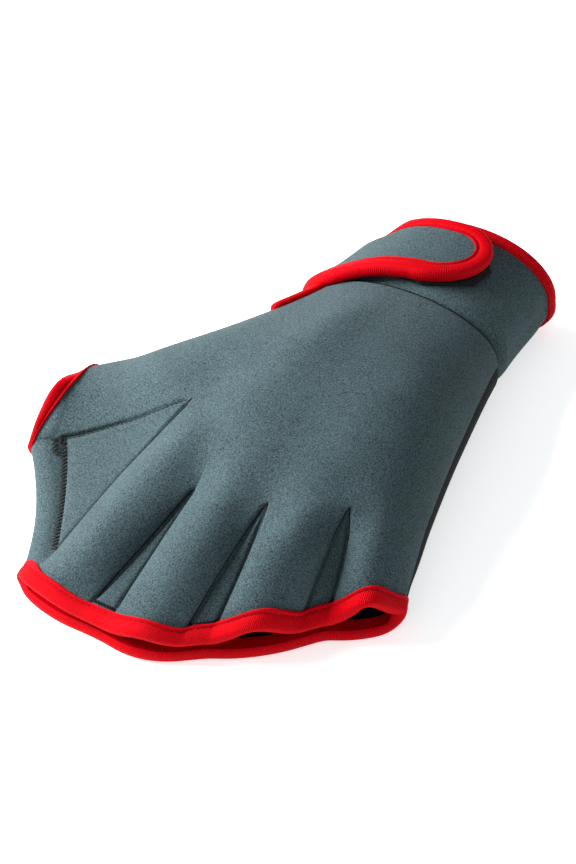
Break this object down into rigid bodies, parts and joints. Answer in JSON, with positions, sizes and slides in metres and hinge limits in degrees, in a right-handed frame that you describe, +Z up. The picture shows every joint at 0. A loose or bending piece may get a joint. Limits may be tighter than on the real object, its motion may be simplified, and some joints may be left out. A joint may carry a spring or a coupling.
{
  "type": "swim glove",
  "caption": "Webbed open-finger swim glove of grey rubber cloth with red edge tape, a black palm and a wrist strap; the hand goes in through the cuff.",
  "frame": {"origin": "middle of the outline in plan, on the surface the glove lies on", "axes": "+Y from the fingers to the cuff, -X the thumb side, +Z up from the palm"},
  "size_m": [0.1572, 0.2082, 0.0476],
  "materials": {
    "grey_cloth": "matt knit-faced soft rubber cloth, slate grey",
    "web_cloth": "the same cloth as the back, in the web panels",
    "black_cloth": "matt black soft rubber cloth",
    "red_tape": "bright red ribbed edge tape, slight sheen",
    "fastener": "black hook-and-loop patch"
  },
  "bodies": {
    "root": {"back_panel": "grey_cloth", "palm_panel": "black_cloth", "thumb_web": "web_cloth", "index_web": "web_cloth", "middle_web": "web_cloth", "ring_web": "web_cloth", "cuff": "grey_cloth", "strap": "grey_cloth", "fastener_patch": "fastener", "finger_binding": "red_tape", "thumb_binding": "red_tape", "cuff_binding": "red_tape", "strap_binding": "red_tape", "slit_binding": "red_tape"}
  },
  "joints": []
}
